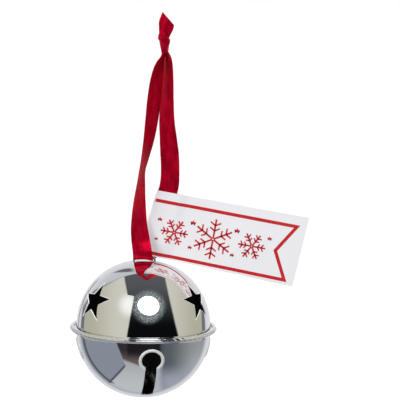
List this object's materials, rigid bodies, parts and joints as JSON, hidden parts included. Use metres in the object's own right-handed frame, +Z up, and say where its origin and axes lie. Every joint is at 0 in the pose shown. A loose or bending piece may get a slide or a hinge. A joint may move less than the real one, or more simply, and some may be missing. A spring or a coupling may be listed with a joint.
{
  "type": "jingle bell ornament",
  "caption": "Round jingle bell of two crimped shells with star cut-outs and keyhole slots, hung by a wire eye on a knotted satin ribbon loop that carries a folded card tag.",
  "frame": {"origin": "hang point: inside the top of the ribbon loop, just under the knot", "axes": "+Z up along the hanging ribbon, -Y towards the front face of the bell and the tag, +X towards the free end of the tag"},
  "size_m": [0.1235, 0.076, 0.2016],
  "materials": {
    "plated_steel": "mirror nickel plate on pressed steel",
    "bright_wire": "bright drawn steel wire",
    "striker_steel": "tumbled steel ball",
    "red_satin": "satin weave polyester ribbon",
    "white_card": "uncoated white card with a red printed border"
  },
  "bodies": {
    "ribbon": {"ribbon_front": "red_satin", "ribbon_back": "red_satin", "ribbon_knot": "red_satin", "ribbon_tail_front": "red_satin", "ribbon_tail_back": "red_satin"},
    "bell": {"upper_shell": "plated_steel", "lower_shell": "plated_steel", "hanger_eye": "bright_wire"},
    "striker": {"striker_ball": "striker_steel"},
    "tag": {"tag_card": "white_card", "ribbon_in_tag": "red_satin"}
  },
  "joints": [
    {"name": "bell_swing", "type": "hinge", "parent": "ribbon", "child": "bell", "pos_m": [-0.009, 0, -0.1026], "axis": [1, 0, 0], "range_deg": [-50, 10]},
    {"name": "tag_swing", "type": "hinge", "parent": "ribbon", "child": "tag", "pos_m": [-0.0072, 0.0046, -0.1036], "axis": [0.2905, 0, 0.9569], "range_deg": [-20, 20]},
    {"name": "striker_roll", "type": "hinge", "parent": "bell", "child": "striker", "pos_m": [-0.009, 0, -0.14385], "axis": [1, 0, 0], "continuous": true}
  ]
}
